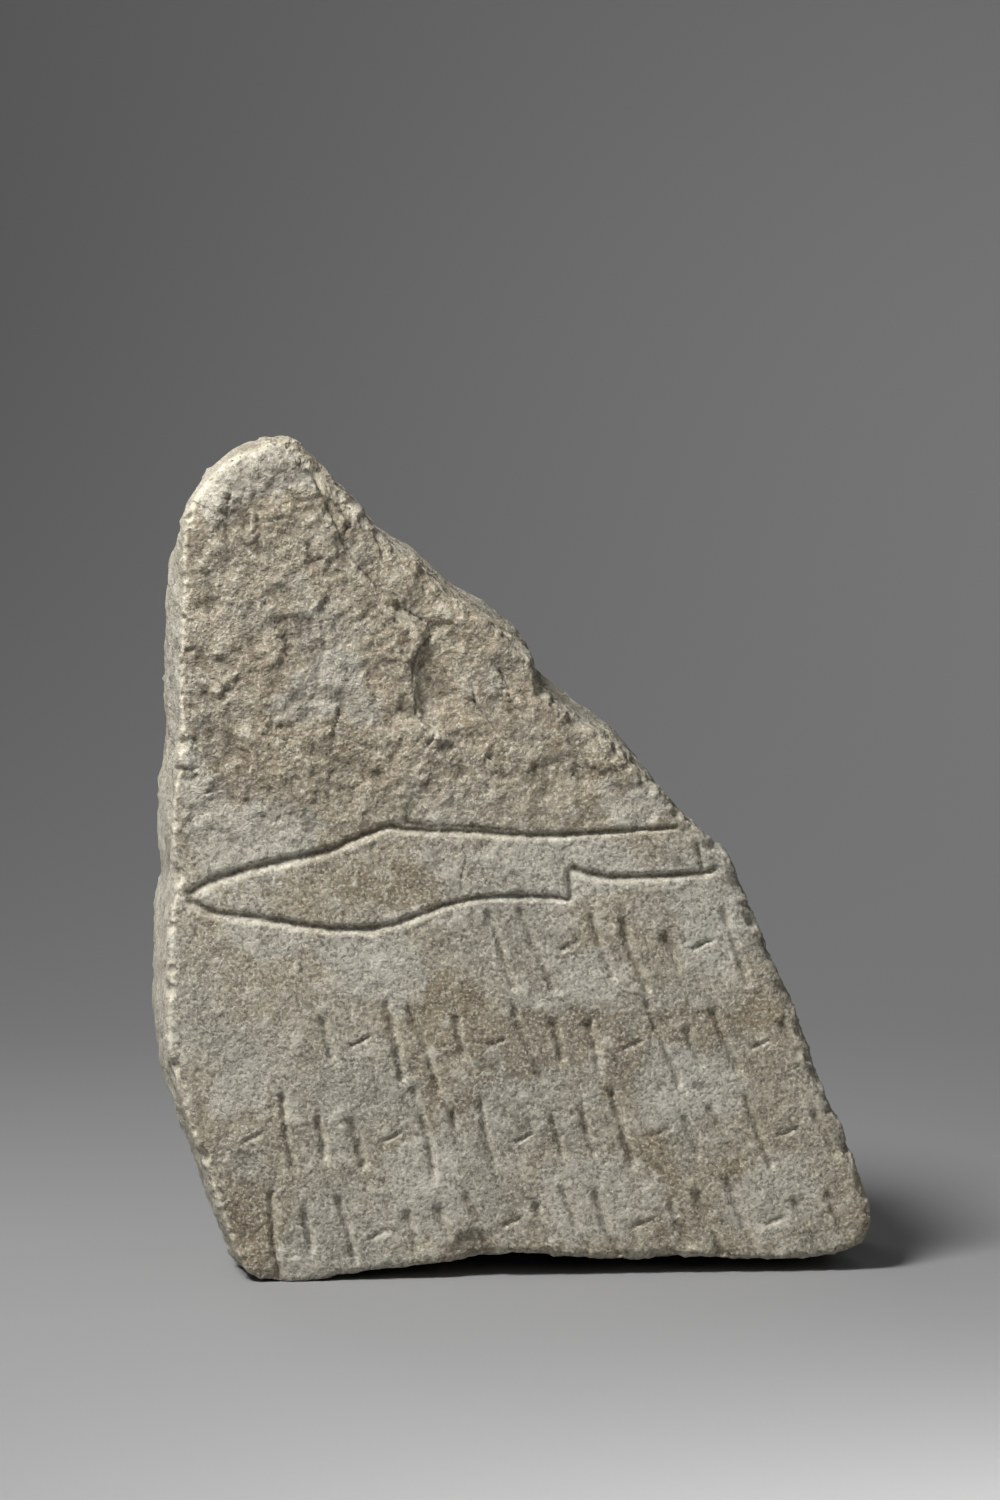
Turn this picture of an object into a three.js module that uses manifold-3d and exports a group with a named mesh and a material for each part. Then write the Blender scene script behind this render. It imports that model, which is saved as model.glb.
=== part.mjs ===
// A broken votive stele of limestone: a slab with an incised knife above rows of worn strokes.
// It stands on its fractured underside. Millimetres, +Z up, with the carved face towards -Y
// and the origin below the middle of the bounding box, on the surface that the stone stands on.

import * as THREE from "three";
import { mergeVertices } from "three/addons/utils/BufferGeometryUtils.js";
import Module from "manifold-3d";

// Driving dimensions of the slab
const HEIGHT = 200;
const WIDTH = 168;
const THICKNESS = 58;
const FRONT_EDGE_WEAR = 1.3;
const APEX_WEAR = 1.8;
const BACK_EDGE_WEAR = 4;
const LEFT_SIDE_FLARE = 2;
const APEX_TAPER = 4;
const BREAK_FLARE = 5.5;
const BREAK_DIRECTION = new THREE.Vector2(0.66, 0.75);
const UNDERSIDE_DROP = 5.4;
const BREAK_ROUGHNESS = 1.3;
const FRONT_WAVE = 0.35;
const FRONT_WAVE_PITCH = 34;
const BACK_WAVE = 1.2;
const BACK_WAVE_PITCH = 21;
const STANDING_TILT = THREE.MathUtils.degToRad(0.5);

// Driving dimensions of the carving and the damage
const KNIFE_LINE_WIDTH = 2.2;
const KNIFE_LINE_DEPTH = 1.1;
const STROKE_WIDTH = 2.1;
const STROKE_DEPTH = 0.9;
const END_WIDTH = 0.45;
const STROKE_LENGTH = 18;
const STROKE_SPACING = 8;
const STROKE_DRIFT = 1.5;
const STROKE_BEND = 0.08;
const TICK_LENGTH = 4.8;
const ROW_PITCH = 22;
const ROW_DRIFT = 3;
const TOP_ROW_HEIGHT = 78;
const SCAR_DEPTH = 1.9;
const CHIP_SIZE = 2.3;

// Every fourth mark is a short tick, and each row has its own run of scattered numbers
const TICK_EVERY = 4;
const ROW_SEEDS = 40;

// Rings of the skin: shares of the way out on the front and back, and of the way back on the sides
const FRONT_RINGS = [0.3, 0.6, 0.82, 1];
const SIDE_RINGS = [0.1, 0.28, 0.5, 0.74];
const HOLLOW_BACK_RINGS = [1, 0.84];
const FLAT_BACK_RINGS = [0.55, 0.28];

// How far round its swell the left side has got at the back, and how much calmer its dressed face is
const FLARE_TURN = 0.7 * Math.PI;
const DRESSED_CALM = 0.6;

// Chips: how much their sizes vary, how far they sit out of the stone and how long they are
const SMALLEST_CHIP = 0.7;
const CHIP_SPREAD = 0.6;
const CHIP_SHIFT = 0.15;
const CHIP_STRETCH = new THREE.Vector3(1, 0.8, 1.5);

// Fineness of the faceted surface
const OUTLINE_SAMPLES = 112;
const GROOVE_STEPS = 1.6;
const CUT_CLEARANCE = 2;
const SLIVER_SIZE = 0.01;

// The outline of the front, as shares of the width and the height, clockwise from the left foot
const OUTLINE = [
  [0.136, 0.000], [0.109, 0.011], [0.088, 0.050], [0.056, 0.126], [0.030, 0.190], [0.009, 0.248],
  [0.000, 0.311], [0.003, 0.376], [0.006, 0.435], [0.016, 0.476], [0.011, 0.526], [0.014, 0.582],
  [0.024, 0.647], [0.023, 0.700], [0.029, 0.822], [0.031, 0.887], [0.041, 0.927], [0.070, 0.965],
  [0.116, 0.991], [0.176, 1.000], [0.208, 0.986], [0.234, 0.956], [0.279, 0.917], [0.307, 0.884],
  [0.360, 0.850], [0.407, 0.809], [0.461, 0.778], [0.515, 0.739], [0.529, 0.705], [0.582, 0.664],
  [0.643, 0.627], [0.686, 0.587], [0.750, 0.533], [0.800, 0.493], [0.823, 0.450], [0.851, 0.387],
  [0.887, 0.323], [0.913, 0.266], [0.940, 0.197], [0.972, 0.143], [0.992, 0.090], [0.998, 0.048],
  [0.978, 0.022], [0.925, 0.013], [0.759, 0.015], [0.587, 0.019], [0.501, 0.027], [0.444, 0.025],
  [0.387, 0.019], [0.260, 0.009], [0.197, 0.001],
];
const MIDDLE = [0.42, 0.42];

// The incised knife, as shares of the width and the height: blade back, edge, heel and grip
const KNIFE_LINES = [
  [[0.030, 0.459], [0.072, 0.478], [0.142, 0.495], [0.222, 0.509], [0.284, 0.529], [0.316, 0.538],
    [0.337, 0.534], [0.419, 0.531], [0.528, 0.525], [0.642, 0.528], [0.726, 0.532]],
  [[0.030, 0.457], [0.069, 0.440], [0.142, 0.431], [0.209, 0.420], [0.289, 0.417], [0.343, 0.429],
    [0.404, 0.446], [0.471, 0.453], [0.541, 0.451], [0.574, 0.446]],
  [[0.574, 0.446], [0.568, 0.486]],
  [[0.568, 0.486], [0.612, 0.475], [0.672, 0.473], [0.766, 0.477], [0.780, 0.485]],
  [[0.752, 0.514], [0.763, 0.479]],
];

// Where each row of strokes starts and ends, as shares of the width, from the top row down
const ROW_SPANS = [[0.47, 0.85], [0.22, 0.89], [0.12, 0.93], [0.15, 0.97]];
const STROKE_PATTERN = [1, 0.55, 0.85, 1.1, 0.65, 0.95, 0.55];
const LEAN_LEFT = THREE.MathUtils.degToRad(8);
const LEAN_RIGHT = THREE.MathUtils.degToRad(28);
const LEAN_DRIFT = THREE.MathUtils.degToRad(12);
const TICK_RISE = THREE.MathUtils.degToRad(24);

// Flakes lost along the broken edge and one at the foot: each one's outline and deepest place
// in shares, its share of the scar depth, and how far from its deepest place it runs out
const SCARS = [
  {
    outline: [[0.258, 0.885], [0.266, 0.861], [0.289, 0.834], [0.325, 0.805], [0.339, 0.786],
      [0.362, 0.772], [0.385, 0.763], [0.470, 0.800], [0.400, 0.880], [0.300, 0.930]],
    deep: [0.330, 0.800], depth: 0.6, reach: 24,
  },
  {
    outline: [[0.362, 0.744], [0.356, 0.728], [0.353, 0.701], [0.358, 0.672], [0.371, 0.658],
      [0.400, 0.640], [0.466, 0.610], [0.560, 0.655], [0.600, 0.700], [0.500, 0.800], [0.374, 0.778]],
    deep: [0.357, 0.705], depth: 1, reach: 25,
  },
  {
    outline: [[0.403, 0.050], [0.430, 0.057], [0.462, 0.052], [0.470, -0.02], [0.395, -0.02]],
    deep: [0.430, 0.020], depth: 0.6, reach: 13,
  },
];
const THINNEST_FLAKE = 0.05;

// Chips out of the front edge, as places along the outline, counted in outline points
const CHIP_PLACES = [3.4, 5.2, 6.6, 7.8, 9.2, 10.4, 11.9, 13.3, 14.2, 22.4, 25.6, 28.2, 29.1, 31.7, 34.5,
  37.2, 39.8, 42.4, 45.6, 47.3];

const FRONT = -THICKNESS / 2;
const BACK = THICKNESS / 2;

// A repeatable number from 0 to 1 for each whole number
function scatter(n) {
  const value = Math.sin(n * 12.9898 + 78.233) * 43758.5453;
  return value - Math.floor(value);
}

// A place on the front, from shares of the width and the height, turned a little about the left foot
function place([across, up]) {
  const leftFoot = new THREE.Vector2((OUTLINE[0][0] - 0.5) * WIDTH, 0);
  const upright = new THREE.Vector2((across - 0.5) * WIDTH, up * HEIGHT);
  return upright.rotateAround(leftFoot, STANDING_TILT);
}

// How far the dressed front lies behind its foremost plane
function frontHollow(x, z) {
  const broad = Math.sin(x / FRONT_WAVE_PITCH + 1.3) * Math.cos(z / FRONT_WAVE_PITCH - 0.4);
  const narrow = Math.sin(2 * (x + z) / FRONT_WAVE_PITCH);
  return FRONT_WAVE * (1.5 + broad + 0.5 * narrow);
}

function outlineCurve() {
  const points = OUTLINE.map((share) => {
    const at = place(share);
    return new THREE.Vector3(at.x, at.y, 0);
  });
  return new THREE.CatmullRomCurve3(points, true, "centripetal");
}

// Points around the outline, each with the direction that faces out of the stone
function outlineSamples() {
  const points = outlineCurve().getSpacedPoints(OUTLINE_SAMPLES);
  return Array.from({ length: OUTLINE_SAMPLES }, (_, i) => {
    const before = points[(i + OUTLINE_SAMPLES - 2) % OUTLINE_SAMPLES];
    const after = points[(i + 2) % OUTLINE_SAMPLES];
    const out = new THREE.Vector2(before.y - after.y, after.x - before.x).normalize();
    return { x: points[i].x, z: points[i].y, out };
  });
}

// How far the side stands outside the front outline at a share of the way to the back
function sideOffset(sample, share, index) {
  const { smoothstep } = THREE.MathUtils;
  const towardsBreak = Math.max(0, sample.out.dot(BREAK_DIRECTION));
  const highUp = smoothstep(sample.z / HEIGHT, 0.5, 0.62) * (1 - smoothstep(sample.z / HEIGHT, 0.95, 1));
  const flare = BREAK_FLARE * towardsBreak ** 2 * highUp * share;
  const apex = smoothstep(sample.z / HEIGHT, 0.8, 0.95);
  const leftward = Math.max(0, -sample.out.x) ** 2 * (1 - apex);
  const left = LEFT_SIDE_FLARE * leftward * Math.sin(share * FLARE_TURN);
  const under = UNDERSIDE_DROP * Math.max(0, -sample.out.y) ** 3 * smoothstep(share, 0.1, 0.75);
  const hewn = 1 - DRESSED_CALM * Math.max(0, -sample.out.x);
  const rough = BREAK_ROUGHNESS * hewn * (scatter(index * 7 + Math.round(share * 20)) - 0.5);
  const calmUnder = 1 - Math.max(0, -sample.out.y);
  return flare + left + under - APEX_TAPER * apex * share + rough * calmUnder * smoothstep(share, 0, 0.1);
}

// How far the front edge is worn back: most around the rounded top
function frontWear(sample) {
  const apex = THREE.MathUtils.smoothstep(sample.z / HEIGHT, 0.88, 0.97);
  return FRONT_EDGE_WEAR + APEX_WEAR * apex;
}

// One ring of the skin around the sides
function sideRing(samples, share, insetAt, y) {
  return samples.map((sample, index) => {
    const offset = sideOffset(sample, share, index) - insetAt(sample);
    return [sample.x + sample.out.x * offset, y, sample.z + sample.out.y * offset];
  });
}

// One ring of the front or the back, drawn in towards the middle
function capRing(rim, scale, heightAt) {
  const middle = place(MIDDLE);
  return rim.map(([x, , z]) => {
    const u = middle.x + (x - middle.x) * scale;
    const w = middle.y + (z - middle.y) * scale;
    return [u, heightAt(u, w), w];
  });
}

// The stone before it is carved, as rings from the middle of the front to the middle of the back
function slabGeometry() {
  const samples = outlineSamples();
  const frontAt = (x, z) => FRONT + frontHollow(x, z);
  const backSwell = (x, z) => Math.sin(x / BACK_WAVE_PITCH) * Math.cos(z / BACK_WAVE_PITCH);
  const backAt = (x, z) => BACK - (BACK_WAVE * (1 + backSwell(x, z))) / 2;
  const upright = () => 0;
  const frontRim = sideRing(samples, 0, frontWear, FRONT);
  const backRim = sideRing(samples, 1, () => BACK_EDGE_WEAR, BACK);
  const rings = FRONT_RINGS.map((scale) => capRing(frontRim, scale, frontAt));
  rings.push(sideRing(samples, 0, upright, FRONT + FRONT_EDGE_WEAR));
  for (const share of SIDE_RINGS) {
    rings.push(sideRing(samples, share, upright, FRONT + THICKNESS * share));
  }
  rings.push(sideRing(samples, 1, upright, BACK - BACK_EDGE_WEAR));
  rings.push(...HOLLOW_BACK_RINGS.map((scale) => capRing(backRim, scale, backAt)));
  rings.push(...FLAT_BACK_RINGS.map((scale) => capRing(backRim, scale, () => BACK)));
  const middle = place(MIDDLE);
  const vertices = [
    [middle.x, frontAt(middle.x, middle.y), middle.y],
    ...rings.flat(),
    [middle.x, BACK, middle.y],
  ];
  return skin(vertices, rings.length);
}

// Triangles over rings of equal length, closed by a point at each end
function skin(vertices, ringCount) {
  const count = OUTLINE_SAMPLES;
  const last = vertices.length - 1;
  const index = [];
  for (let i = 0; i < count; i++) {
    const next = (i + 1) % count;
    index.push(0, 1 + next, 1 + i);
    for (let ring = 0; ring < ringCount - 1; ring++) {
      const a = 1 + ring * count + i;
      const b = 1 + ring * count + next;
      index.push(a, b, a + count, b, b + count, a + count);
    }
    const inner = 1 + (ringCount - 1) * count;
    index.push(last, inner + i, inner + next);
  }
  const geometry = new THREE.BufferGeometry();
  geometry.setAttribute("position", new THREE.Float32BufferAttribute(vertices.flat(), 3));
  geometry.setIndex(index);
  return geometry;
}

// A cutter with a V section that follows a line of places on the front, thinning out at its ends
function grooveGeometry(line, width, depth) {
  const vertices = [];
  const index = [];
  const count = line.length;
  line.forEach((at, i) => {
    const before = line[Math.max(i - 1, 0)];
    const after = line[Math.min(i + 1, count - 1)];
    const along = new THREE.Vector2().subVectors(after, before).normalize();
    const thin = i === 0 || i === count - 1 ? END_WIDTH : 1;
    const half = (width / 2) * thin * (1 + CUT_CLEARANCE / depth);
    const surface = FRONT + frontHollow(at.x, at.y);
    const top = surface - CUT_CLEARANCE * thin;
    vertices.push([at.x - along.y * half, top, at.y + along.x * half]);
    vertices.push([at.x + along.y * half, top, at.y - along.x * half]);
    vertices.push([at.x, surface + depth * thin, at.y]);
  });
  index.push(0, 2, 1);
  for (let i = 0; i < count - 1; i++) {
    for (let corner = 0; corner < 3; corner++) {
      const a = i * 3 + corner;
      const b = i * 3 + ((corner + 1) % 3);
      index.push(a, b, a + 3, b, b + 3, a + 3);
    }
  }
  const end = (count - 1) * 3;
  index.push(end, end + 1, end + 2);
  const geometry = new THREE.BufferGeometry();
  geometry.setAttribute("position", new THREE.Float32BufferAttribute(vertices.flat(), 3));
  geometry.setIndex(index);
  return geometry;
}

function knifeGrooves() {
  return KNIFE_LINES.map((shares) => {
    const corners = shares.map(place);
    const steps = corners.length > 2 ? Math.round(corners.length * GROOVE_STEPS) : 2;
    const line = new THREE.SplineCurve(corners).getPoints(steps);
    return grooveGeometry(line, KNIFE_LINE_WIDTH, KNIFE_LINE_DEPTH);
  });
}

// The worn strokes, each one a short bent line; they stand apart and spell nothing
function strokes() {
  const marks = [];
  ROW_SPANS.forEach(([from, to], row) => {
    const start = (from - 0.5) * WIDTH;
    const count = Math.floor(((to - from) * WIDTH) / STROKE_SPACING) + 1;
    for (let i = 0; i < count; i++) {
      const seed = row * ROW_SEEDS + i;
      const x = start + i * STROKE_SPACING + (scatter(seed) - 0.5) * STROKE_DRIFT;
      const z = TOP_ROW_HEIGHT - row * ROW_PITCH + (scatter(seed + 200) - 0.5) * ROW_DRIFT;
      const lean = THREE.MathUtils.lerp(LEAN_LEFT, LEAN_RIGHT, x / WIDTH + 0.5)
        + (scatter(seed + 300) - 0.5) * LEAN_DRIFT;
      if ((i + row) % TICK_EVERY === 2) {
        marks.push(stroke(x, z, Math.PI / 2 + TICK_RISE, TICK_LENGTH, seed));
      } else {
        const length = STROKE_LENGTH * STROKE_PATTERN[(i * 3 + row) % STROKE_PATTERN.length];
        marks.push(stroke(x, z, lean, length, seed));
      }
    }
  });
  return marks;
}

// A stroke about a point: its angle is counted from straight down towards the right
function stroke(x, z, angle, length, seed) {
  const along = new THREE.Vector2(Math.sin(angle), -Math.cos(angle));
  const bend = (scatter(seed + 400) - 0.5) * STROKE_BEND * length;
  return [-0.5, 0, 0.5].map((share) => {
    const sideways = share === 0 ? bend : 0;
    return new THREE.Vector2(
      x + along.x * length * share - along.y * sideways,
      z + along.y * length * share + along.x * sideways,
    );
  });
}

// A cutter for a lost flake: a plate with upright walls and a floor that rises from its deepest place
function scarGeometry({ outline, deep, depth, reach }) {
  const shape = new THREE.Shape(outline.map(place));
  const geometry = new THREE.ExtrudeGeometry(shape, { depth: 1, steps: 1, bevelEnabled: false });
  geometry.rotateX(Math.PI / 2);
  const from = place(deep);
  const position = geometry.getAttribute("position");
  for (let i = 0; i < position.count; i++) {
    const away = from.distanceTo(new THREE.Vector2(position.getX(i), position.getZ(i)));
    const left = 1 - THREE.MathUtils.smoothstep(away, 0, reach);
    const floor = FRONT + FRONT_WAVE + Math.max(SCAR_DEPTH * depth * left, THINNEST_FLAKE);
    const isFloor = position.getY(i) > -0.5;
    position.setY(i, isFloor ? floor : FRONT - CUT_CLEARANCE);
  }
  return geometry;
}

// A cutter for a chip: a crooked lump across the front edge
function chipGeometry(where, number) {
  const turn = where / OUTLINE.length;
  const at = outlineCurve().getPoint(turn);
  const radius = CHIP_SIZE * (SMALLEST_CHIP + CHIP_SPREAD * scatter(number + 600));
  const geometry = new THREE.IcosahedronGeometry(radius, 0);
  geometry.rotateX(scatter(number + 700) * Math.PI);
  geometry.rotateZ(scatter(number + 800) * Math.PI);
  geometry.scale(...CHIP_STRETCH);
  geometry.translate(at.x, FRONT - radius * CHIP_SHIFT, at.y);
  return geometry;
}

const wasm = await Module();
wasm.setup();

// A closed solid for cutting, from a geometry's places alone
function toSolid(geometry) {
  const bare = geometry.clone();
  bare.deleteAttribute("normal");
  bare.deleteAttribute("uv");
  const merged = mergeVertices(bare, 1e-4);
  return new wasm.Manifold(new wasm.Mesh({
    numProp: 3,
    vertProperties: new Float32Array(merged.getAttribute("position").array),
    triVerts: new Uint32Array(merged.index.array),
  }));
}

// The surface of a solid, without the slivers that the cuts leave where they nearly meet
function toGeometry(solid) {
  const mesh = solid.getMesh();
  const raw = new THREE.BufferGeometry();
  raw.setAttribute("position", new THREE.Float32BufferAttribute(mesh.vertProperties, 3));
  raw.setIndex(Array.from(mesh.triVerts));
  const geometry = mergeVertices(raw, SLIVER_SIZE);
  const corners = Array.from(geometry.index.array);
  const index = [];
  for (let i = 0; i < corners.length; i += 3) {
    const [a, b, c] = corners.slice(i, i + 3);
    if (a !== b && b !== c && c !== a) {
      index.push(a, b, c);
    }
  }
  geometry.setIndex(index);
  return geometry;
}

// Everything below the surface that the stone stands on
function groundGeometry() {
  const ground = new THREE.BoxGeometry(WIDTH * 2, THICKNESS * 2, HEIGHT);
  return ground.translate(0, 0, -HEIGHT / 2);
}

function steleGeometry() {
  const cutters = [
    ...SCARS.map(scarGeometry),
    ...knifeGrooves(),
    ...strokes().map((line) => grooveGeometry(line, STROKE_WIDTH, STROKE_DEPTH)),
    ...CHIP_PLACES.map(chipGeometry),
    groundGeometry(),
  ];
  let stone = toSolid(slabGeometry());
  for (const cutter of cutters) {
    stone = stone.subtract(toSolid(cutter));
  }
  const geometry = toGeometry(stone);
  geometry.computeBoundingBox();
  const middle = geometry.boundingBox.getCenter(new THREE.Vector3());
  geometry.translate(-middle.x, -middle.y, -geometry.boundingBox.min.z);
  geometry.computeVertexNormals();
  return geometry;
}

const limestone = new THREE.MeshStandardMaterial({
  color: 0x9a9183, roughness: 0.95, metalness: 0, flatShading: true,
});
const stele = new THREE.Mesh(steleGeometry(), limestone);
stele.name = "stele";

const votiveStele = new THREE.Group();
votiveStele.add(stele);

export default votiveStele;
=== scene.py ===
"""A votive stele fragment: a limestone slab with an incised knife above rows of worn strokes."""
import math

import bmesh
import bpy
import numpy as np
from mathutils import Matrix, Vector


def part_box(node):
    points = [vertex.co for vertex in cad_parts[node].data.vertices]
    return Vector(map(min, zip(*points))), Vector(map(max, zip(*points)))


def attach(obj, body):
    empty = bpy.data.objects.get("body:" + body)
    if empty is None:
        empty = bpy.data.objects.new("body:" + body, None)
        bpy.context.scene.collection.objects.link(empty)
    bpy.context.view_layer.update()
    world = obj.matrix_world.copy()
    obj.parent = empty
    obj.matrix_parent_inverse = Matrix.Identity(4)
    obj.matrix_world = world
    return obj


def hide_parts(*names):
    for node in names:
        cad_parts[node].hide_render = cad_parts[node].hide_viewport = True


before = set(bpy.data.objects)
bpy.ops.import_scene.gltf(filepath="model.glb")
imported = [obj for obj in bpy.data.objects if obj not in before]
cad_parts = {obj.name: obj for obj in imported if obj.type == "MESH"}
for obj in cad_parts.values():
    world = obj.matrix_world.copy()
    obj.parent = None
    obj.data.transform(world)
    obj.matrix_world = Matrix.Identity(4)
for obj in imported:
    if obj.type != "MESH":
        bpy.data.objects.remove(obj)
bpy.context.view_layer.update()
MM = 0.001

# The slab's driving sizes, in millimetres, as in the CAD solid
HEIGHT = 200.0
WIDTH = 168.0
THICKNESS = 58.0
BACK_EDGE_WEAR = 4.0
LEFT_SIDE_FLARE = 2.0
APEX_TAPER = 4.0
BREAK_FLARE = 5.5
UNDERSIDE_DROP = 5.4
FRONT_WAVE = 0.35
FRONT_WAVE_PITCH = 34.0
FRONT = -THICKNESS / 2

# How far the outline is turned about its left foot, and which way the broken edge faces
STANDING_TILT = math.radians(0.5)
BREAK_DIRECTION = (0.66, 0.75)

# The carving's driving sizes, in millimetres
KNIFE_LINE_WIDTH = 2.2
KNIFE_LINE_DEPTH = 1.1
STROKE_WIDTH = 2.1
STROKE_DEPTH = 0.9
STROKE_LENGTH = 18.0
STROKE_SPACING = 8.0
STROKE_DRIFT = 1.5
TICK_LENGTH = 4.8
ROW_PITCH = 22.0
ROW_DRIFT = 3.0
TOP_ROW_HEIGHT = 78.0
STROKE_TAPER = 1.6
SCAR_DEPTH = 1.9
CHIP_SIZE = 2.3
SMALL_CHIP_SIZE = 1.1

# Counts and shares of the carving: every which mark is a tick, seeds kept for each row, how far the ends
# run out, how much dirt and painted shade a stroke holds and how much slimmer a tick is
TICK_EVERY = 4
ROW_SEEDS = 40
STROKE_RUN_OUT = 0.16
STROKE_DIRT_AND_SHADE = 0.6
TICK_SLIMNESS = 0.62

# The front edge: how many small chips, how far out a chip's centre lies as a share of its radius, and
# what share of the wear is cut off the edge
SMALL_CHIPS = 60
CHIP_CENTRE = 0.42
EDGE_CUT = 0.3

# The outline of the front, as shares of the width and the height, clockwise from the left foot
OUTLINE = [
    (0.136, 0.000), (0.109, 0.011), (0.088, 0.050), (0.056, 0.126), (0.030, 0.190), (0.009, 0.248),
    (0.000, 0.311), (0.003, 0.376), (0.006, 0.435), (0.016, 0.476), (0.011, 0.526), (0.014, 0.582),
    (0.024, 0.647), (0.023, 0.700), (0.029, 0.822), (0.031, 0.887), (0.041, 0.927), (0.070, 0.965),
    (0.116, 0.991), (0.176, 1.000), (0.208, 0.986), (0.234, 0.956), (0.279, 0.917), (0.307, 0.884),
    (0.360, 0.850), (0.407, 0.809), (0.461, 0.778), (0.515, 0.739), (0.529, 0.705), (0.582, 0.664),
    (0.643, 0.627), (0.686, 0.587), (0.750, 0.533), (0.800, 0.493), (0.823, 0.450), (0.851, 0.387),
    (0.887, 0.323), (0.913, 0.266), (0.940, 0.197), (0.972, 0.143), (0.992, 0.090), (0.998, 0.048),
    (0.978, 0.022), (0.925, 0.013), (0.759, 0.015), (0.587, 0.019), (0.501, 0.027), (0.444, 0.025),
    (0.387, 0.019), (0.260, 0.009), (0.197, 0.001),
]
MIDDLE = (0.42, 0.42)

# The knife's lines, as shares of the width and the height, each with its width at start and end
KNIFE_LINES = [
    ([(0.030, 0.459), (0.072, 0.478), (0.142, 0.495), (0.222, 0.509), (0.284, 0.529), (0.316, 0.538),
      (0.337, 0.534), (0.419, 0.531), (0.528, 0.525), (0.642, 0.528), (0.726, 0.532)], 1.55, 0.75),
    ([(0.030, 0.457), (0.069, 0.440), (0.142, 0.431), (0.209, 0.420), (0.289, 0.417), (0.343, 0.429),
      (0.404, 0.446), (0.471, 0.453), (0.541, 0.451), (0.574, 0.446)], 1.35, 0.8),
    ([(0.574, 0.446), (0.568, 0.486)], 0.95, 1.1),
    ([(0.568, 0.486), (0.612, 0.475), (0.672, 0.473), (0.766, 0.477), (0.780, 0.485)], 1.3, 0.8),
    ([(0.752, 0.514), (0.763, 0.479)], 0.7, 0.6),
]

# Where each row of strokes starts and ends, as shares of the width, from the top row down
ROW_SPANS = [(0.47, 0.85), (0.22, 0.89), (0.12, 0.93), (0.15, 0.97)]
STROKE_PATTERN = [1.0, 0.55, 0.85, 1.1, 0.65, 0.95, 0.55]
LEAN_LEFT = math.radians(8)
LEAN_RIGHT = math.radians(28)
LEAN_DRIFT = math.radians(12)
TICK_RISE = math.radians(24)

# Flakes lost along the broken edge and one at the foot: outline in shares, deepest place, share of the
# depth, reach in mm
SCARS = [
    dict(outline=[(0.258, 0.885), (0.266, 0.861), (0.289, 0.834), (0.325, 0.805), (0.339, 0.786),
                  (0.362, 0.772), (0.385, 0.763), (0.470, 0.800), (0.400, 0.880), (0.300, 0.930)],
         deep=(0.330, 0.800), depth=0.6, reach=24),
    dict(outline=[(0.362, 0.744), (0.356, 0.728), (0.353, 0.701), (0.358, 0.672), (0.371, 0.658),
                  (0.400, 0.640), (0.466, 0.610), (0.560, 0.655), (0.600, 0.700), (0.500, 0.800),
                  (0.374, 0.778)],
         deep=(0.357, 0.705), depth=1.0, reach=25),
    dict(outline=[(0.403, 0.050), (0.430, 0.057), (0.462, 0.052), (0.470, -0.02), (0.395, -0.02)],
         deep=(0.430, 0.020), depth=0.6, reach=13),
]

# Where the face is flaked into ledges: place in shares, then half width and half height in mm
FLAKED_PATCHES = [(0.330, 0.845, 12, 13), (0.400, 0.800, 14, 14), (0.470, 0.700, 20, 20),
                  (0.590, 0.620, 15, 9)]
LEDGE_DROP = 1.5
LEDGE_PITCH = 8.5

# The light's direction across the front: painted shade darkens the wall of a groove that is nearer to it,
# and a painted highlight lightens the far lip
TOWARDS_LIGHT = (-0.5, 0.87)

# Hairline cracks and thin steps beside the lost flakes, as shares, each with its width and depth in mm
CRACKS = [
    ([(0.330, 0.543), (0.370, 0.539), (0.430, 0.537), (0.500, 0.531)], 1.6, 0.45),
    ([(0.258, 0.926), (0.268, 0.900), (0.256, 0.880), (0.264, 0.862), (0.275, 0.846), (0.295, 0.827),
      (0.317, 0.809), (0.331, 0.799), (0.363, 0.782), (0.380, 0.776)], 1.5, 0.7),
    ([(0.325, 0.806), (0.331, 0.795), (0.337, 0.785)], 3.0, 1.7),
    ([(0.388, 0.768), (0.368, 0.752), (0.357, 0.738), (0.353, 0.725), (0.352, 0.704), (0.356, 0.682),
      (0.357, 0.667), (0.372, 0.655), (0.380, 0.645), (0.364, 0.628)], 1.7, 0.8),
    ([(0.434, 0.712), (0.437, 0.700), (0.441, 0.681), (0.463, 0.656), (0.477, 0.640)], 1.4, 0.55),
    ([(0.470, 0.728), (0.486, 0.700), (0.492, 0.680), (0.514, 0.668)], 1.3, 0.5),
    ([(0.395, 0.735), (0.400, 0.715), (0.396, 0.700), (0.402, 0.684)], 1.0, 0.35),
    ([(0.416, 0.656), (0.438, 0.634), (0.466, 0.610), (0.467, 0.601), (0.456, 0.593)], 0.7, 0.4),
    ([(0.419, 0.522), (0.423, 0.498), (0.417, 0.474), (0.421, 0.452)], 0.8, 0.35),
    ([(0.243, 0.690), (0.247, 0.668), (0.240, 0.655), (0.244, 0.640)], 0.7, 0.4),
]

# Places of the larger chips along the front edge, counted in outline points
CHIP_PLACES = [3.4, 5.2, 6.6, 7.8, 9.2, 10.4, 11.9, 13.3, 14.2, 22.4, 25.6, 28.2, 29.1, 31.7, 34.5,
               37.2, 39.8, 42.4, 45.6, 47.3]

# The photograph's view: angles in degrees, distances in millimetres, the aim counted from the left edge
# and the floor
CAMERA_AZIMUTH, CAMERA_ELEVATION, CAMERA_DISTANCE = -6.0, 3.0, 984.5
CAMERA_AIM = (79.43, 125.41)
CAMERA_LENS = 100

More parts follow.
